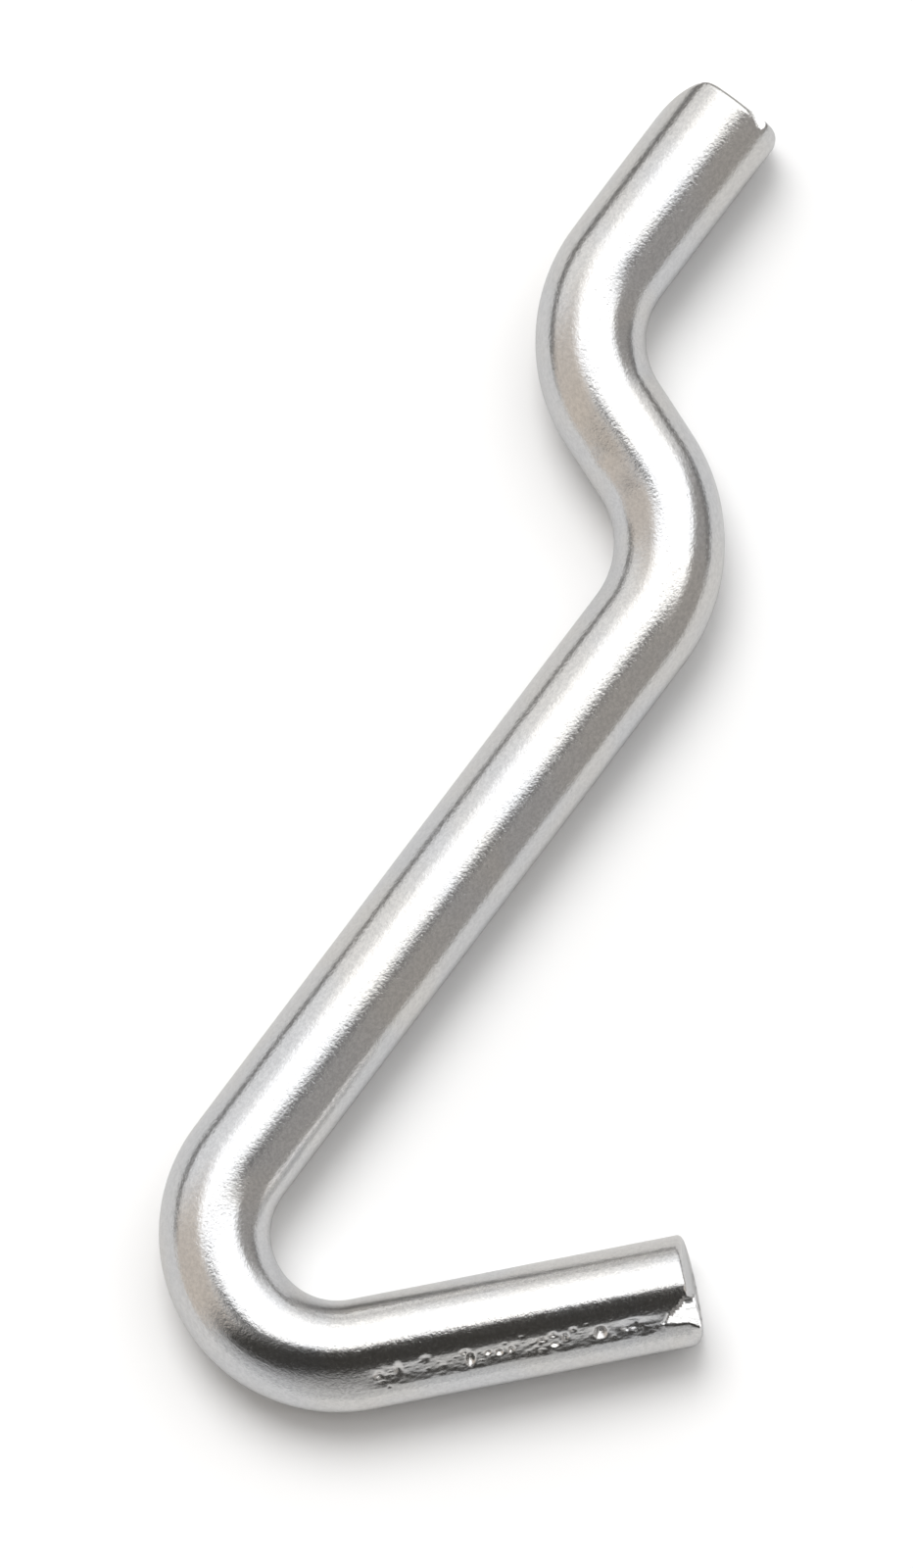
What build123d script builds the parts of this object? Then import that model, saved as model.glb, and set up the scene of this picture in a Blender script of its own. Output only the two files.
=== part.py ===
from build123d import *
import os
from math import cos, radians, sin

# A one-piece hook for a perforated hardboard, bent from round steel wire and cut to length in a shear.
# Millimetres. The hook lies on its side, so its plane is XY and Z runs through the wire.
# As hung, +Y is up, +X is the front of the board and -X is behind it.
# The centre line starts at the prong's cut end, drops to the heel, climbs the shank to the shoulder,
# steps back through the board along the jog, and climbs again along the tang.

wire_diameter = 3.175  # 1/8 in wire

# Straight lengths, corner to corner on the centre line
prong_length = 18.5
shank_length = 30.65
jog_length = 7.23
tang_length = 8.24

# Slopes above the horizontal as hung, in degrees
prong_rise = 48.1
jog_rise = 20.0

# Bend radii on the centre line
heel_radius = 3.45
shoulder_radius = 3.98
knee_radius = 3.73

# The shear leans as it cuts, so each cut face looks up a little, and it leaves a soft rim
prong_slant = 6.5  # degrees
tang_slant = 2.0
rim_radius = 0.15

# The tang's back edge is rolled over by the blade, wide along the wire and narrow across it
roll_along = 1.8
roll_across = 0.94

# The prong's end has a chip broken out beside its top, with a near-level floor and one steep wall
chip_floor = 1.12  # height of the floor above the wire's axis
chip_slope = 5.0  # the floor's fall towards the end, degrees
chip_turn = 35.5  # the wall's turn away from the wire's axis, degrees
chip_start = 0.15  # where the wall meets the cut face, below the axis as hung

wire_radius = wire_diameter / 2
spare = 2.0  # length left on each end for the shear to take off
block = 4 * wire_diameter  # size of the cutting blocks, past the wire on every side


def heading(angle):
    """Unit direction in the hook's plane, counted in degrees from the front."""
    return Vector(cos(radians(angle)), sin(radians(angle)))


def corner_points():
    """The centre line's corners, from the prong's cut end to the tang's."""
    heel = Vector(0, 0)
    prong_end = heel + heading(prong_rise) * prong_length
    shoulder = heel + heading(90) * shank_length
    knee = shoulder + heading(180 - jog_rise) * jog_length
    tang_end = knee + heading(90) * tang_length
    return prong_end, heel, shoulder, knee, tang_end


def bent_wire(points):
    """The bent wire before it is cut to length, with some spare at both ends."""
    first = points[0] + heading(prong_rise) * spare
    last = points[-1] + heading(90) * spare
    path = FilletPolyline(first, *points[1:-1], last, radius=[heel_radius, shoulder_radius, knee_radius])
    section = Plane(origin=path @ 0, z_dir=path % 0) * Circle(wire_radius)
    return sweep(section, path=path)


def beyond(place, normal):
    """A block that fills everything past a plane, near the wire."""
    return Plane(origin=place, z_dir=normal) * Pos(0, 0, block / 2) * Box(block, block, block)


def cut_off(wire, end, direction, slant):
    """Shear one end off on a slant and soften the rim of the cut face."""
    lean = direction * cos(radians(slant)) + Vector(0, 0, 1) * sin(radians(slant))
    wire = wire - beyond(end, lean)
    rim = wire.edges().sort_by_distance(end)[0]
    return fillet(rim, rim_radius)


def rolled_corner(tang_end):
    """What the blade pressed away from the tang's back corner: a corner block less an ellipse."""
    corner = tang_end + Vector(-wire_radius, 0)
    outside = Rectangle(block, block)
    inside = Pos(roll_across, -roll_along) * Ellipse(roll_across, roll_along)
    kept_front = Pos(roll_across + block / 2, 0) * Rectangle(block, 2 * block)
    kept_below = Pos(0, -roll_along - block / 2) * Rectangle(2 * block, block)
    profile = Pos(corner) * (outside - inside - kept_front - kept_below)
    return extrude(profile, amount=block, both=True)


def broken_chip(prong_end):
    """The block of metal that broke out beside the top of the prong's end."""
    under = heading(prong_rise - 90)
    corner = prong_end + under * chip_start + Vector(0, 0, chip_floor)
    wall = heading(prong_rise + 180 + chip_turn)
    fall = heading(prong_rise) * sin(radians(chip_slope)) + Vector(0, 0, 1) * cos(radians(chip_slope))
    floor = Plane(origin=corner, x_dir=wall, z_dir=fall)
    return floor * Pos(0, block / 2, block / 2) * Box(block, block, block)


def make_wire_hook():
    """The finished hook, resting on Z 0 with the middle of its outline on the origin."""
    points = corner_points()
    wire = bent_wire(points)
    wire = cut_off(wire, points[0], heading(prong_rise), prong_slant)
    wire = cut_off(wire, points[-1], heading(90), tang_slant)
    wire = wire - rolled_corner(points[-1]) - broken_chip(points[0])
    box = wire.bounding_box()
    return Pos(-box.center().X, -box.center().Y, -box.min.Z) * wire


wire_hook = make_wire_hook()
wire_hook.label = "wire_hook"

os.makedirs("parts", exist_ok=True)
export_step(wire_hook, "parts/wire_hook.step")

size = wire_hook.bounding_box().size
print("wire_hook", round(size.X, 3), round(size.Y, 3), round(size.Z, 3), "volume", round(wire_hook.volume, 2))
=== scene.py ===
import math
import random

import bmesh
import bpy
from mathutils import Matrix, Vector, noise


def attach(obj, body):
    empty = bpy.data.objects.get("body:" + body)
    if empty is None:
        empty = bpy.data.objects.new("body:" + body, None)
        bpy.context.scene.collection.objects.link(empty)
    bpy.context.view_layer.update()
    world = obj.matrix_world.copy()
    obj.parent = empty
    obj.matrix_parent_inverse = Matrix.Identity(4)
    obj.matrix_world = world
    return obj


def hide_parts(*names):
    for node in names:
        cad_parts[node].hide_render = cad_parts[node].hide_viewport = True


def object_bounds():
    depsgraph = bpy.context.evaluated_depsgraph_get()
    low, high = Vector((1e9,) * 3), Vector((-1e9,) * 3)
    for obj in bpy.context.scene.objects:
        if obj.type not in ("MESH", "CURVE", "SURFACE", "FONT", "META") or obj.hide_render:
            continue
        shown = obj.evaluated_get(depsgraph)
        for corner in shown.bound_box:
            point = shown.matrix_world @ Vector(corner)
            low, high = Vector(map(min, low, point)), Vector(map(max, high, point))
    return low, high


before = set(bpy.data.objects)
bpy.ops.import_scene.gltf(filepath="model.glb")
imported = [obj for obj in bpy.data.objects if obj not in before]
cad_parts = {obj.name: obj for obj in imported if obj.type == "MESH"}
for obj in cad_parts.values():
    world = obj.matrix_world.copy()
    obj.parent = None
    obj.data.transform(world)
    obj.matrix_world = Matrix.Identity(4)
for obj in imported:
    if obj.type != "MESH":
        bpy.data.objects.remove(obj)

cadLow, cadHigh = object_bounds()
mm = 0.001
up = Vector((0, 0, 1))


def headingAt(angle):
    return Vector((math.cos(angle), math.sin(angle), 0))


def smooth(low, high, x):
    t = min(max((x - low) / (high - low), 0), 1)
    return t * t * (3 - 2 * t)


def hump(x, middle, reach):
    # 1 at the middle, easing to 0 at the reach on both sides
    return smooth(reach, 0, abs(x - middle))


# the wire's route, in millimetres and degrees; the driving sizes are the frame's own
wire = dict(
    diameter=3.175,
    prong=18.5, shank=30.65, jog=7.23, tang=8.24,       # between corners, before the bends round them
    prongRise=48.1, jogRise=20.0,
    heelBend=3.45, shoulderBend=3.98, kneeBend=3.73,    # to the middle of the wire
    sides=128,
    ringGap=0.125,      # between rings along the wire
    endRingGap=0.06,    # and close to the cut ends
    endStretch=2.0,     # how far in from each end the close rings go
    lastGap=1.3,        # a run's last gap may be this many times as long as the others
)
radius = wire["diameter"] / 2


def planWire():
    # rings: (place, heading, distance along) from the prong's end to the tang's
    # bends: (distance where it starts, where it ends, +1 to the left or -1 to the right)
    turns = [
        -math.radians(90 + wire["prongRise"]),
        math.radians(90 - wire["jogRise"]),
        -math.radians(90 - wire["jogRise"]),
    ]
    curves = [wire["heelBend"], wire["shoulderBend"], wire["kneeBend"]]
    reach = [curve * math.tan(abs(turn) / 2) for curve, turn in zip(curves, turns)]
    runs = [
        wire["prong"] - reach[0],
        wire["shank"] - reach[0] - reach[1],
        wire["jog"] - reach[1] - reach[2],
        wire["tang"] - reach[2],
    ]
    length = sum(runs) + sum(curve * abs(turn) for curve, turn in zip(curves, turns))
    heel = Vector((
        cadLow.x / mm + radius + wire["jog"] * math.cos(math.radians(wire["jogRise"])),
        cadLow.y / mm + radius + curves[0] - reach[0],
        radius,
    ))
    angle = math.radians(wire["prongRise"]) + math.pi
    place = heel - headingAt(angle) * wire["prong"]
    along = 0.0
    rings = [(place, angle, along)]
    bends = []
    hair = 1e-6         # runs shorter than this are done
    for number, run in enumerate(runs):
        start, gone = place, 0.0
        while run - gone > hair:
            atEnd = min(along, length - along - 0.01) < wire["endStretch"]     # a hair early at the tang
            gap = wire["endRingGap"] if atEnd else wire["ringGap"]
            gap = run - gone if run - gone < wire["lastGap"] * gap else gap
            gone += gap
            along += gap
            place = start + headingAt(angle) * gone
            rings.append((place, angle, along))
        if number < len(turns):
            curve, turn = curves[number], turns[number]
            toCentre = headingAt(angle + math.copysign(math.pi / 2, turn)) * curve
            centre = place + toCentre
            bends.append((along, along + curve * abs(turn), math.copysign(1, turn)))
            steps = math.ceil(curve * abs(turn) / wire["ringGap"])
            for step in range(1, steps + 1):
                part = turn * step / steps
                spoke = Matrix.Rotation(part, 3, "Z") @ -toCentre
                rings.append((centre + spoke, angle + part, along + abs(part) * curve))
            place, angle, along = rings[-1]
    return rings, bends, length


rings, bends, wireLength = planWire()
print("route planned:", len(rings), "rings,", round(wireLength, 2), "mm of wire")


def carryOn(bm, edges):
    # extrude a ring of edges and hand back the new ring's edges and corners
    grown = bmesh.ops.extrude_edge_only(bm, edges=edges)["geom"]
    corners = [g for g in grown if isinstance(g, bmesh.types.BMVert)]
    fresh = set(corners)
    ahead = [g for g in grown if isinstance(g, bmesh.types.BMEdge) and set(g.verts) <= fresh]
    return ahead, corners


def growWire(bm):
    roundLayer = bm.verts.layers.float.new("roundWire")     # angle round the wire, 0 on the heading's left
    alongLayer = bm.verts.layers.float.new("alongWire")     # millimetres from the prong's end
    first, angle, _ = rings[0]
    stand = Matrix.Translation(first) @ Matrix.Rotation(angle, 4, "Z")
    stand = stand @ Matrix.Rotation(math.pi / 2, 4, "Y")
    start = bmesh.ops.create_circle(bm, segments=wire["sides"], radius=radius, matrix=stand)["verts"]
    left = headingAt(angle + math.pi / 2)
    for v in start:
        arm = v.co - first
        v[roundLayer] = math.atan2(arm.z, arm.dot(left))
    firstRing = list(bm.edges)
    ring, corners = firstRing, start
    for (was, wasAngle, _), (place, angle, along) in zip(rings, rings[1:]):
        ring, corners = carryOn(bm, ring)
        bmesh.ops.rotate(bm, cent=was, matrix=Matrix.Rotation(angle - wasAngle, 3, "Z"), verts=corners)
        bmesh.ops.translate(bm, vec=place - was, verts=corners)
        for v in corners:
            v[alongLayer] = along
    return firstRing, ring


# what the shear left on both ends, in millimetres and degrees
shear = dict(
    prongSlant=6.5, tangSlant=2.0,      # each cut face looks up a little
    slantReach=1.2,                     # how far in the slant is felt
    rim=0.15, rimRings=5, faceRings=16,
    rimRoom=3.0, endRoom=3.5,           # how far from an end's middle its corners are looked for
    tornFrom=0.15,                      # the lower part of each face tore instead of shearing
    tornEase=0.2, tornWander=0.25,      # how softly the tear begins, and how unevenly
    tornDepth=0.05, tornRough=0.035, shearRough=0.008, faceGrain=5,
    # rolled edges: how far along the wire, how far across
    prongUnder=(0.40, 0.24), tangBack=(1.8, 0.94), tangFront=(0.45, 0.34),
    # chips: the floor's height over the wire's middle, its rise and its turn in degrees,
    # how far across it starts, its wall's width, its outward lip
    prongChip=dict(floor=1.0, slope=5.0, turn=35.5, start=0.06, wall=0.05, lip=0.14),
    tangChip=dict(floor=1.1, slope=9.0, turn=62.0, start=0.40, wall=0.04, lip=0.03),
    chipReach=2, chipRagged=0.05, chipRough=0.012, lipFade=0.7,
    sharpAngle=38,                      # edges bent more than this stay sharp
)


def closeEnd(bm, ring, end, direction):
    # carry the last ring round a soft rim and in over the face, ring by ring
    faceLayer = bm.verts.layers.float.get("cutFace") or bm.verts.layers.float.new("cutFace")
    rim = shear["rim"]
    steps = []
    for step in range(1, shear["rimRings"] + 1):
        turn = math.pi / 2 * step / shear["rimRings"]
        steps.append((radius - rim * (1 - math.cos(turn)), rim * math.sin(turn)))
    for step in range(1, shear["faceRings"]):
        steps.append(((radius - rim) * (1 - step / shear["faceRings"]), rim))
    size, out = radius, 0.0
    base = end - direction * rim
    for number, (newSize, newOut) in enumerate(steps):
        ring, corners = carryOn(bm, ring)
        toMiddle = Matrix.Translation(-(base + direction * out))
        bmesh.ops.scale(bm, vec=(newSize / size,) * 3, space=toMiddle, verts=corners)
        bmesh.ops.translate(bm, vec=direction * (newOut - out), verts=corners)
        for v in corners:
            v[faceLayer] = min(1, number / shear["rimRings"])
        size, out = newSize, newOut
    lastFace = bmesh.ops.contextual_create(bm, geom=ring)["faces"]
    bmesh.ops.poke(bm, faces=lastFace)


def pullBack(bm, end, direction):
    # the rim needs its own room, so the wall's last rings draw in by the rim's size
    for v in bm.verts:
        if (v.co - end).length > shear["rimRoom"]:
            continue
        short = (end - v.co).dot(direction)
        if short < shear["slantReach"]:
            v.co -= direction * shear["rim"] * smooth(shear["slantReach"], 0, short)


print("growing the wire")
bm = bmesh.new()
firstRing, lastRing = growWire(bm)
prongEnd, prongOut = rings[0][0], -headingAt(rings[0][1])
tangEnd, tangOut = rings[-1][0], headingAt(rings[-1][1])
prongSide = headingAt(rings[0][1] + math.pi / 2)        # both sides are the heading's left
tangSide = headingAt(rings[-1][1] + math.pi / 2)
pullBack(bm, prongEnd, prongOut)
pullBack(bm, tangEnd, tangOut)
closeEnd(bm, firstRing, prongEnd, prongOut)
closeEnd(bm, lastRing, tangEnd, tangOut)
bmesh.ops.recalc_face_normals(bm, faces=bm.faces)
print("plain wire:", len(bm.faces), "faces")


def endPlace(v, end, out, side):
    # where a corner sits against a cut end: depth in from the face, across, and up from the wire's middle
    arm = v.co - end
    return -arm.dot(out), arm.dot(side), v.co.z - radius


def setEndPlace(v, end, out, side, depth, across, height):
    v.co = end - out * depth + side * across + up * height


def nearEnd(bm, end):
    return [v for v in bm.verts if (v.co - end).length < shear["endRoom"]]


def breakChip(bm, end, out, side, chip):
    # where the last of the wire broke away: a near-level floor and one steep wall
    faceLayer = bm.verts.layers.float["cutFace"]
    lean = math.tan(math.radians(chip["turn"]))
    rise = math.tan(math.radians(chip["slope"]))
    for v in nearEnd(bm, end):
        depth, across, height = endPlace(v, end, out, side)
        if depth > shear["chipReach"] or height <= 0:
            continue
        ragged = shear["chipRagged"] * noise.noise(Vector((depth, across, 3)) * 5)
        inside = smooth(0, chip["wall"], across - chip["start"] - max(depth, 0) * lean + ragged)
        if not inside:
            continue
        rough = shear["chipRough"] * noise.noise(Vector((depth, across, 7)) * 4)
        floor = chip["floor"] + depth * rise + rough
        if v[faceLayer] > 0:
            depth -= chip["lip"] * inside * smooth(floor - shear["lipFade"], floor, height)
        if height > floor:
            height += (floor - height) * inside
        setEndPlace(v, end, out, side, depth, across, height)


def rollEdge(bm, end, out, side, roll):
    # one side of the end, drawn in by the blade
    length, width = roll
    for v in nearEnd(bm, end):
        depth, across, height = endPlace(v, end, out, side)
        if depth > length or across <= 0:
            continue
        part = min((length - max(depth, 0)) / length, 1)
        reach = radius - width * (1 - math.sqrt(max(1 - part ** 2, 0)))
        edge = math.sqrt(max(radius ** 2 - height ** 2, 1e-6))
        if edge > reach:
            setEndPlace(v, end, out, side, depth, across * reach / edge, height)


def slantFace(bm, end, out, side, slant, seed):
    # lean the face back at the top, and leave its lower part torn
    faceLayer = bm.verts.layers.float["cutFace"]
    for v in nearEnd(bm, end):
        depth, across, height = endPlace(v, end, out, side)
        if depth > shear["slantReach"]:
            continue
        lean = math.tan(math.radians(slant)) * height
        depth += lean * smooth(shear["slantReach"], 0, depth)
        if v[faceLayer] >= 1:
            wander = shear["tornWander"] * noise.noise(Vector((across, seed, 0)))
            torn = smooth(0, shear["tornEase"], -height - shear["tornFrom"] + wander)
            spot = Vector((across * shear["faceGrain"], height * shear["faceGrain"], seed))
            grain = noise.fractal(spot, 1, 2, 4)
            depth += torn * shear["tornDepth"] + abs(grain) * (
                shear["shearRough"] + torn * shear["tornRough"])
        setEndPlace(v, end, out, side, depth, across, height)


# the bending tools' marks, in millimetres and degrees; turns count round the wire, 90 is its top
press = dict(
    outerFlat=0.035, flatPast=1,        # how far each bend's outer side is drawn in, and past the bend
    wave=0.006, waveLong=0.35, waveRound=0.9,           # long soft unevenness of the drawn wire
    drawLine=0.0012, lineLong=0.25, lineRound=14,       # fine lines along it
    flank=0.17, flankMiddle=55, flankHalf=52, flankFade=(13, 10),   # the prong's whole flank, pressed flatter
    # the strip of marks: where it fades in and out along the wire, its turns, its roughness
    bandIn=(0.85, 1.35), bandOut=(9.7, 8.8), bandTurns=(30, 82),
    bandMiddle=55, bandHalf=13, bandEdge=0.85, bandWander=1.5, wanderLong=0.8,
    bandRough=0.012, roughLong=3.5, roughTurn=0.16,
    fineAlong=(0.9, 9.6), fineTurns=(30, 80),           # where the faces are three times finer
    # dents in the strip: along, turn, half-length, half-width, depth
    dents=[
        (8.53, 62, 0.16, 0.30, 0.068), (7.75, 68, 0.22, 0.16, 0.045), (6.50, 55, 0.17, 0.34, 0.150),
        (6.62, 66, 0.20, 0.14, 0.075), (5.97, 59, 0.13, 0.13, 0.075), (5.68, 57, 0.15, 0.15, 0.090),
        (5.33, 57, 0.15, 0.17, 0.090), (4.43, 62, 0.18, 0.15, 0.075), (4.10, 66, 0.13, 0.15, 0.068),
        (4.08, 53, 0.15, 0.13, 0.075), (3.77, 60, 0.13, 0.20, 0.083), (3.53, 68, 0.14, 0.12, 0.060),
        (2.78, 57, 0.24, 0.30, 0.180), (1.85, 59, 0.62, 0.30, 0.083), (9.1, 58, 0.2, 0.2, 0.060),
    ],
    nicks=70, nickAlong=(1.35, 9.2), nickTurn=(57, 6.5),
    nickSize=(0.05, 0.12), nickStretch=(0.8, 1.8), nickDepth=(0.006, 0.025),
    # hollows, and swells where the depth is negative: along from the shoulder's end, then as the dents
    swells=[(-0.1, 50, 0.9, 0.75, -0.035), (0.7, 48, 0.6, 0.55, 0.025), (2.5, 150, 0.6, 0.45, 0.03)],
    speck=(-1.67, 86, 0.09, 0.07, 0.025),               # along from the shoulder's start
)


def bowl(along, turn, mark):
    middle, middleTurn, halfLong, halfWide, depth = mark
    q = ((along - middle) / halfLong) ** 2 + (math.radians(turn - middleTurn) * radius / halfWide) ** 2
    return depth * (1 - q) ** 2 if q < 1 else 0


def addNicks():
    random.seed(12)
    for _ in range(press["nicks"]):
        size = random.uniform(*press["nickSize"])
        press["dents"].append((
            random.uniform(*press["nickAlong"]),
            random.gauss(*press["nickTurn"]),
            size * random.uniform(*press["nickStretch"]), size, random.uniform(*press["nickDepth"]),
        ))


def refineBand(bm):
    # cut the marked strip's faces in three each way, and set the new corners out on the round wall
    roundLayer = bm.verts.layers.float["roundWire"]
    alongLayer = bm.verts.layers.float["alongWire"]
    start, end = press["fineAlong"]
    low, high = (math.radians(turn) for turn in press["fineTurns"])
    slack = 0.05
    inside = {v for v in bm.verts if start < v[alongLayer] < end and low < v[roundLayer] < high}
    edges = [e for e in bm.edges if e.verts[0] in inside and e.verts[1] in inside]
    bmesh.ops.subdivide_edges(bm, edges=edges, cuts=2, use_grid_fill=True)
    for v in bm.verts:
        turn = v[roundLayer]
        if start < v[alongLayer] < end and low - slack < turn < high + slack:
            depth = (prongEnd - v.co).dot(prongOut)
            spoke = (prongSide * math.cos(turn) + up * math.sin(turn)) * radius
            v.co = prongEnd - prongOut * depth + spoke


def pressBand(along, turn):
    # how far the strip of marks is pressed in, and how much this place belongs to it
    ends = smooth(*press["bandIn"], along) * smooth(*press["bandOut"], along)
    wander = press["bandWander"] * noise.noise(Vector((along * press["wanderLong"], 5, 0)))
    off = abs(math.radians(turn - press["bandMiddle"] - wander))
    half = math.radians(press["bandHalf"])
    inBand = ends * smooth(half, half * press["bandEdge"], off)
    depth = ends * (radius * (1 - math.cos(half) / math.cos(min(off, half))))
    rough = noise.fractal(Vector((along * press["roughLong"], turn * press["roughTurn"], 1)), 1, 2, 5)
    depth += inBand * press["bandRough"] * rough
    for mark in press["dents"]:
        if abs(mark[0] - along) < mark[2]:
            depth += bowl(along, turn, mark)
    return depth, inBand


def pressWall(bm):
    roundLayer = bm.verts.layers.float["roundWire"]
    alongLayer = bm.verts.layers.float["alongWire"]
    faceLayer = bm.verts.layers.float["cutFace"]
    bandLayer = bm.verts.layers.float.new("toolBand")
    shoulderStart, shoulderEnd, _ = bends[1]
    bm.normal_update()
    normals = {v: v.normal.copy() for v in bm.verts}
    for v in bm.verts:
        if v[faceLayer] > 0:
            continue
        along, turn = v[alongLayer], math.degrees(v[roundLayer])
        level, rise = math.cos(v[roundLayer]), math.sin(v[roundLayer])
        spot = Vector((along * press["waveLong"], level * press["waveRound"], rise * press["waveRound"]))
        depth = press["wave"] * (0.5 + noise.noise(spot))
        spot = Vector((along * press["lineLong"], spot.y * press["lineRound"], spot.z * press["lineRound"]))
        depth += press["drawLine"] * (0.5 + noise.noise(spot))
        for start, end, hand in bends:
            bent = hump(along, (start + end) / 2, (end - start) / 2 + press["flatPast"])
            depth += press["outerFlat"] * bent * max(-hand * level, 0) ** 2
        offFlank = (turn - press["flankMiddle"]) / press["flankHalf"]
        if abs(offFlank) < 1:
            lobe = 0.5 + 0.5 * math.cos(math.pi * offFlank)
            depth += press["flank"] * lobe * smooth(*press["flankFade"], along)
        for mark in press["swells"]:
            depth += bowl(along - shoulderEnd, turn, mark)
        depth += bowl(along - shoulderStart, turn, press["speck"])
        low, high = press["bandTurns"]
        if press["bandIn"][0] < along < press["bandOut"][0] and low < turn < high:
            bandDepth, v[bandLayer] = pressBand(along, turn)
            depth += bandDepth
        v.co -= normals[v] * depth


def keepPlaces(bm):
    # each corner remembers its place on the straight wire, for patterns that follow the bends
    roundLayer = bm.verts.layers.float["roundWire"]
    alongLayer = bm.verts.layers.float["alongWire"]
    faceLayer = bm.verts.layers.float["cutFace"]
    placeLayer = bm.verts.layers.float_vector.new("wirePlace")
    for v in bm.verts:
        along, turn = v[alongLayer], v[roundLayer]
        if v[faceLayer] == 0:
            v[placeLayer] = Vector((along, radius * math.cos(turn), radius * math.sin(turn)))
        elif along < wireLength / 2:
            v[placeLayer] = Vector(endPlace(v, prongEnd, prongOut, prongSide))
        else:
            depth, across, height = endPlace(v, tangEnd, tangOut, tangSide)
            v[placeLayer] = Vector((wireLength - depth, across, height))


print("shaping the ends and the tool marks")
addNicks()
refineBand(bm)
keepPlaces(bm)
pressWall(bm)
slantFace(bm, prongEnd, prongOut, prongSide, shear["prongSlant"], 2)
slantFace(bm, tangEnd, tangOut, tangSide, shear["tangSlant"], 9)
rollEdge(bm, prongEnd, prongOut, prongSide, shear["prongUnder"])
rollEdge(bm, tangEnd, tangOut, tangSide, shear["tangBack"])
rollEdge(bm, tangEnd, tangOut, -tangSide, shear["tangFront"])
breakChip(bm, prongEnd, prongOut, prongSide, shear["prongChip"])
breakChip(bm, tangEnd, tangOut, -tangSide, shear["tangChip"])
bmesh.ops.scale(bm, vec=(mm,) * 3, verts=bm.verts)
hookMesh = bpy.data.meshes.new("wire_hook_bent")
bm.to_mesh(hookMesh)
bm.free()
for face in hookMesh.polygons:
    face.use_smooth = True
hookMesh.set_sharp_from_angle(angle=math.radians(shear["sharpAngle"]))
hook = bpy.data.objects.new("wire_hook_bent", hookMesh)
bpy.context.scene.collection.objects.link(hook)
print("finished wire:", len(hookMesh.polygons), "faces")


class Value:
    # one socket of a shader; sums and products on it add Math nodes
    def __init__(self, maker, socket):
        self.maker, self.socket = maker, socket

    def __add__(self, other):
        return self.maker.maths("ADD", self, other)

    def __sub__(self, other):
        return self.maker.maths("SUBTRACT", self, other)

    def __mul__(self, other):
        return self.maker.maths("MULTIPLY", self, other)

    def __truediv__(self, other):
        return self.maker.maths("DIVIDE", self, other)

    def __radd__(self, other):
        return self.maker.maths("ADD", other, self)

    def __rsub__(self, other):
        return self.maker.maths("SUBTRACT", other, self)

    def __getitem__(self, name):
        return Value(self.maker, self.socket.node.outputs[name])

    def ease(self, start, full):
        # 0 up to the start and 1 from the full, whichever of them is larger
        return self.maker.node(
            "MapRange", {"Value": self, "From Min": start, "From Max": full}, interpolation_type="SMOOTHSTEP")


class ShaderMaker:
    def __init__(self, tree):
        self.tree = tree
        tree.nodes.clear()

    def node(self, kind, inputs=(), out=0, **settings):
        made = self.tree.nodes.new("ShaderNode" + kind)
        for name, value in settings.items():
            setattr(made, name, value)
        for name, value in inputs.items() if isinstance(inputs, dict) else enumerate(inputs):
            if isinstance(value, Value):
                self.tree.links.new(value.socket, made.inputs[name])
            else:
                made.inputs[name].default_value = value
        return Value(self, made.outputs[out]) if made.outputs else None

    def maths(self, operation, *terms):
        return self.node("Math", terms, operation=operation)

    def mixColour(self, factor, first, second):
        # the Mix node's colours are its inputs 6 and 7 and its output 2
        return self.node("Mix", {0: factor, 6: first, 7: second}, out=2, data_type="RGBA")

    def scaled(self, vector, factors):
        return self.node("VectorMath", [vector, factors], operation="MULTIPLY")

    def dot(self, vector, direction):
        return self.node("VectorMath", [vector, tuple(direction)], out=1, operation="DOT_PRODUCT")

    def noiseAt(self, vector, scale, detail, roughness):
        return self.node(
            "TexNoise", {"Vector": vector, "Scale": scale, "Detail": detail, "Roughness": roughness})


# bright plated steel
plate = dict(
    cool=(0.815, 0.82, 0.83, 1), warm=(0.855, 0.84, 0.815, 1), warmFade=(0.35, 0.65),
    torn=(0.70, 0.70, 0.70, 1), tornShare=0.7,
    speckleShade=(0.86, 0.86, 0.865), speckleFade=(0.36, 0.64),
    # patterns over the straight wire, in millimetres: scale, detail, roughness
    cloud=(0.35, 2, 0.5), grain=(11, 2, 0.7), speckle=(9, 3, 0.8), pits=(7, 1, 0.5), pitFade=(0.66, 0.74),
    lines=(11, 3, 0.6), lineStretch=(0.05, 1, 1), smear=(5, 4, 0.6), smearStretch=(0.5, 1, 1),
    # roughness of the plating, and what its grain, the tool marks and the cut faces add
    roughness=0.17, grainRoughness=0.25, bandRoughness=0.14, tornRoughness=0.2,
    # heights of the patterns beside the grain's, and the whole relief in metres
    lineHeight=0.3, pitDepth=0.25, bandHeight=1.2, tornHeight=0.8, relief=0.000006,
)


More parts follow.
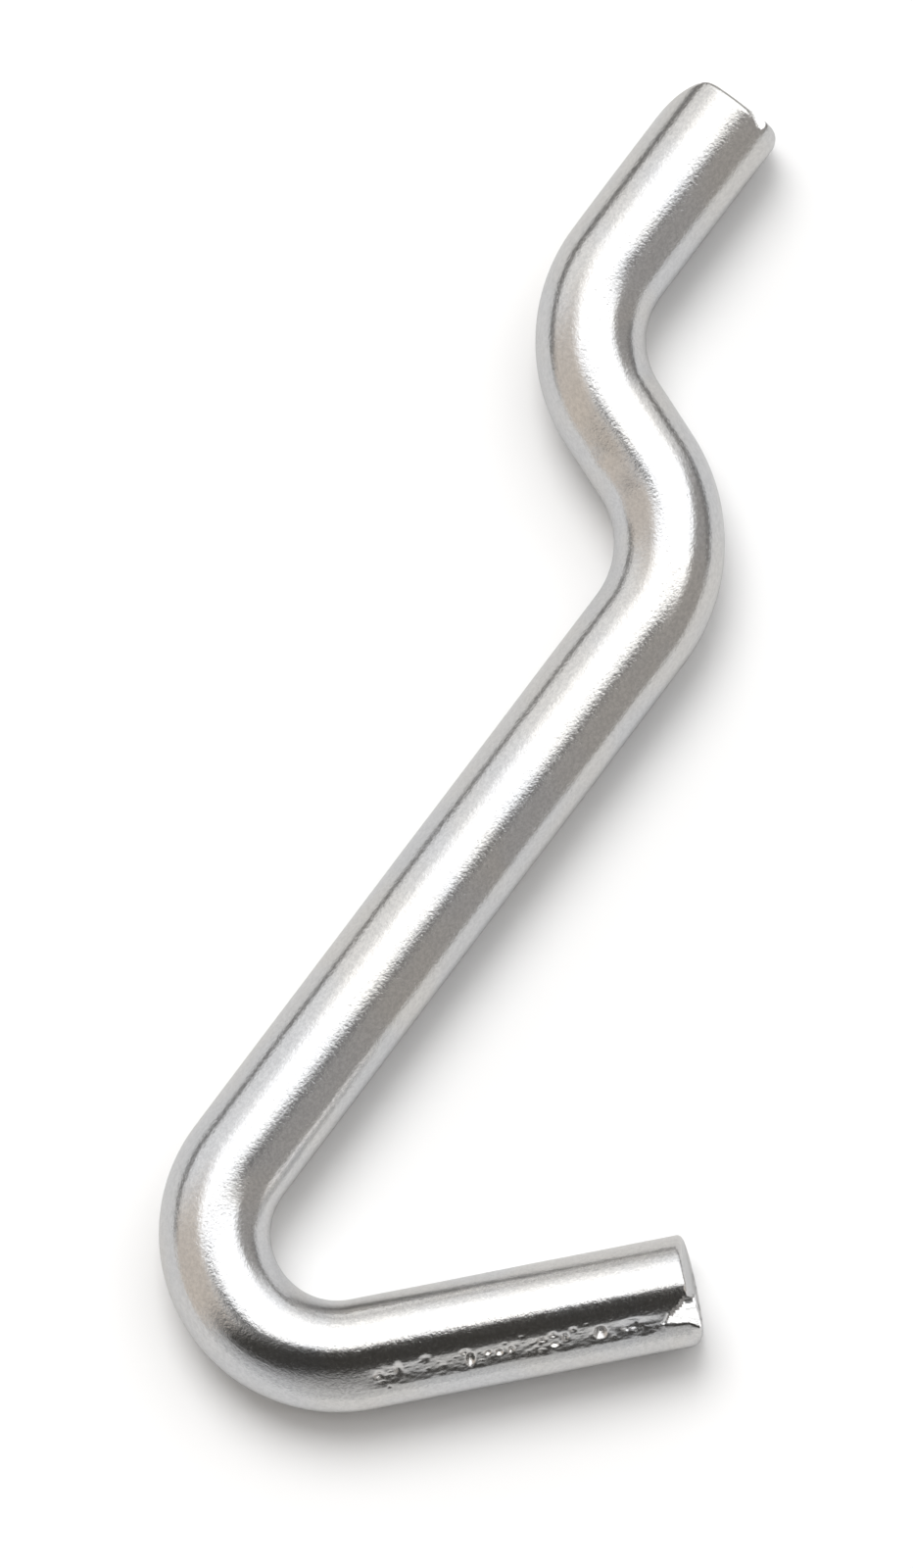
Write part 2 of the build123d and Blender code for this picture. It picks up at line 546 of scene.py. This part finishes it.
def platedSteel():
    material = bpy.data.materials.new("plated_steel")
    material.use_nodes = True
    make = ShaderMaker(material.node_tree)
    place = make.node("Attribute", attribute_name="wirePlace")["Vector"]
    band = make.node("Attribute", attribute_name="toolBand")["Fac"]
    face = make.node("Attribute", attribute_name="cutFace")["Fac"].ease(0.6, 1.0)
    cloud = make.noiseAt(place, *plate["cloud"]).ease(*plate["warmFade"])
    grain = make.noiseAt(place, *plate["grain"])
    speckle = make.noiseAt(place, *plate["speckle"]).ease(*plate["speckleFade"])
    pits = make.noiseAt(place, *plate["pits"]).ease(*plate["pitFade"])
    lines = make.noiseAt(make.scaled(place, plate["lineStretch"]), *plate["lines"])
    smear = make.noiseAt(make.scaled(place, plate["smearStretch"]), *plate["smear"])

    colour = make.mixColour(cloud, plate["cool"], plate["warm"])
    colour = make.mixColour(speckle, make.scaled(colour, plate["speckleShade"]), colour)
    colour = make.mixColour(face * plate["tornShare"], colour, plate["torn"])
    roughness = plate["roughness"] + (grain - 0.5) * plate["grainRoughness"]
    roughness = roughness + band * plate["bandRoughness"] * smear + face * plate["tornRoughness"]

    height = grain + lines * plate["lineHeight"] * (1 - face) - pits * plate["pitDepth"]
    height = height + smear * band * plate["bandHeight"] + smear * face * plate["tornHeight"]
    bump = make.node("Bump", {"Strength": 1.0, "Distance": plate["relief"], "Height": height})
    surface = make.node("BsdfPrincipled", {
        "Base Color": colour, "Metallic": 1.0, "Roughness": roughness, "Normal": bump})
    make.node("OutputMaterial", {"Surface": surface})
    return material


hookMesh.materials.append(platedSteel())
print("plated steel made")

# the camera, and its own right and top as they lie on the floor
view = dict(
    turn=36.96,                 # its right, from the hook's front, in degrees
    middle=(-1.51, 21.18),      # what it looks at, from the heel's corner, in millimetres
    height=44.17,               # how much it takes in from bottom to top, in millimetres
    distance=0.4,               # how far off it is, in metres
    lean=5.7,                   # and how far towards the bottom it stands, in degrees
)
right = headingAt(math.radians(view["turn"]))
top = headingAt(math.radians(view["turn"] + 90))
heelCorner = prongEnd - prongOut * wire["prong"]

# what the wire shows, in degrees from overhead: x to the camera's right, y to its top
studio = dict(
    wall=(0.84, 0.84, 0.84, 1), warmWall=(0.62, 0.56, 0.50, 1), dimWall=(0.345, 0.33, 0.315, 1),
    farWall=(0.54, 0.54, 0.54, 1), dark=(0.045, 0.043, 0.04, 1), horizon=(0.2, 0.19, 0.18, 1),
    softBox=(1.5, 1.5, 1.5, 1), backdrop=(1, 1, 1, 1),
    # soft edges: how much x and y count, where the edge begins, where it is full
    warmEdges=[(-1, 0, 12, 35), (0, 1, 35, 0)],
    dimEdges=[(1, -0.45, 2, 30), (0, 1, 55, 30)],
    wedgeEdges=[(0.5, -0.866, -6, 12), (-0.82, -0.57, -16, 4)], wedgeAway=(80, 52),
    horizonEdges=[(0, 1, -10, 10)], horizonAway=(80, 87),
    boxEdges=[(1, 0, -42, -20), (0.15, 1, -5, 1), (1, -0.45, 50, 40)], boxAway=(76, 52),
    # the camera's own dark shape, and a dim strip just under the box: middle, half-sizes,
    # where its edge begins and is full, how much of it shows
    spots=[(-12, -4, 10, 7, 1.5, 0.4, 0.9), (21, -11, 13, 6, 1.6, 0.2, 0.6)],
    # a soft lamp that the metal doesn't show: strength, lean and turn in degrees, size in degrees
    key=0.44, keyLean=32, keyTurn=108, keySize=34,
    # the floor's tone for the metal, near and far, is painted shade that only reflections show, darker near
    # the wire and darker still far off; then its tone for the camera; the fades are in metres
    floor=0.63, floorFar=0.15, floorSeen=0.95,
    floorFade=(0.026, 0.034), floorSide=(-0.01, 0.01), floorSize=3.0,
)


def lightStudio():
    world = bpy.data.worlds.new("studio")
    bpy.context.scene.world = world
    world.use_nodes = True
    make = ShaderMaker(world.node_tree)
    direction = make.node("TexCoord")["Generated"]
    flatX, flatY, height = (make.dot(direction, axis) for axis in (right, top, up))
    away = make.maths("ARCCOSINE", height) * (180 / math.pi)
    reach = make.maths("SQRT", flatX * flatX + flatY * flatY) + 0.0001
    x, y = away * flatX / reach, away * flatY / reach

    def inside(edges):
        part = 1
        for byX, byY, start, full in edges:
            part = (x * byX + y * byY).ease(start, full) * part
        return part

    wedge = inside(studio["wedgeEdges"])
    room = make.mixColour(inside(studio["warmEdges"]), studio["wall"], studio["warmWall"])
    room = make.mixColour(inside(studio["dimEdges"]), room, studio["dimWall"])
    room = make.mixColour(wedge, room, studio["farWall"])
    room = make.mixColour(wedge * away.ease(*studio["wedgeAway"]), room, studio["dark"])
    for middleX, middleY, halfX, halfY, start, full, share in studio["spots"]:
        offX, offY = (x - middleX) / halfX, (y - middleY) / halfY
        spot = (offX * offX + offY * offY).ease(start, full)
        room = make.mixColour(spot * share, room, studio["dark"])
    horizon = inside(studio["horizonEdges"]) * away.ease(*studio["horizonAway"])
    room = make.mixColour(horizon, room, studio["horizon"])
    box = inside(studio["boxEdges"]) * away.ease(*studio["boxAway"])
    light = make.mixColour(box, room, studio["softBox"])
    light = make.mixColour(make.node("LightPath")["Is Camera Ray"], light, studio["backdrop"])
    background = make.node("Background", {"Color": light, "Strength": 1.0})
    make.node("OutputWorld", {"Surface": background})

    lamp = bpy.data.lights.new("key", "SUN")
    lamp.energy = studio["key"] * math.pi
    lamp.angle = math.radians(studio["keySize"])
    key = bpy.data.objects.new("key", lamp)
    bpy.context.scene.collection.objects.link(key)
    turn = math.radians(studio["keyTurn"])
    level = right * math.cos(turn) + top * math.sin(turn)
    lean = math.radians(studio["keyLean"])
    key.rotation_euler = (level * math.sin(lean) + up * math.cos(lean)).to_track_quat("Z", "Y").to_euler()
    key.visible_glossy = False


def layFloor():
    bm = bmesh.new()
    bmesh.ops.create_grid(bm, x_segments=1, y_segments=1, size=studio["floorSize"])
    bmesh.ops.translate(bm, vec=(0, 0, cadLow.z), verts=bm.verts)
    mesh = bpy.data.meshes.new("floor")
    bm.to_mesh(mesh)
    bm.free()
    floor = bpy.data.objects.new("floor", mesh)
    bpy.context.scene.collection.objects.link(floor)
    material = bpy.data.materials.new("white_paper")
    material.use_nodes = True
    make = ShaderMaker(material.node_tree)
    seen = make.node("LightPath")["Is Camera Ray"]
    place = make.node("TexCoord")["Object"]
    # painted shade: the metal sees the floor darker than the camera does, and darker still beyond the fades
    # far off towards the top
    far = make.node("VectorMath", [place], out=1, operation="LENGTH").ease(*studio["floorFade"])
    far = far * make.dot(place, top).ease(*studio["floorSide"])
    paintedShadeTone = studio["floor"] - far * (studio["floor"] - studio["floorFar"])
    tone = paintedShadeTone + seen * (studio["floorSeen"] - paintedShadeTone)
    grey = make.node("CombineColor", [tone, tone, tone])
    paper = make.node("BsdfPrincipled", {"Base Color": grey, "Roughness": 1.0, "Specular IOR Level": 0.0})
    make.node("OutputMaterial", {"Surface": paper})
    mesh.materials.append(material)


def placeCamera():
    data = bpy.data.cameras.new("camera")
    camera = bpy.data.objects.new("camera", data)
    bpy.context.scene.collection.objects.link(camera)
    lean = math.radians(view["lean"])
    back = up * math.cos(lean) - top * math.sin(lean)
    target = (heelCorner + Vector((*view["middle"], 0))) * mm
    camera.location = target + back * view["distance"]
    axes = (right, back.cross(right), back)
    camera.rotation_euler = Matrix(axes).transposed().to_euler()
    data.sensor_width = 36
    data.lens = data.sensor_width * view["distance"] / (view["height"] * mm)
    data.clip_start, data.clip_end = 0.01, 20
    bpy.context.scene.camera = camera


lightStudio()
layFloor()
placeCamera()
bpy.context.scene.view_settings.view_transform = "Standard"
print("studio ready")

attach(hook, "root")
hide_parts("wire_hook")

print("cad box", [round(c / mm, 3) for c in (*cadLow, *cadHigh)])
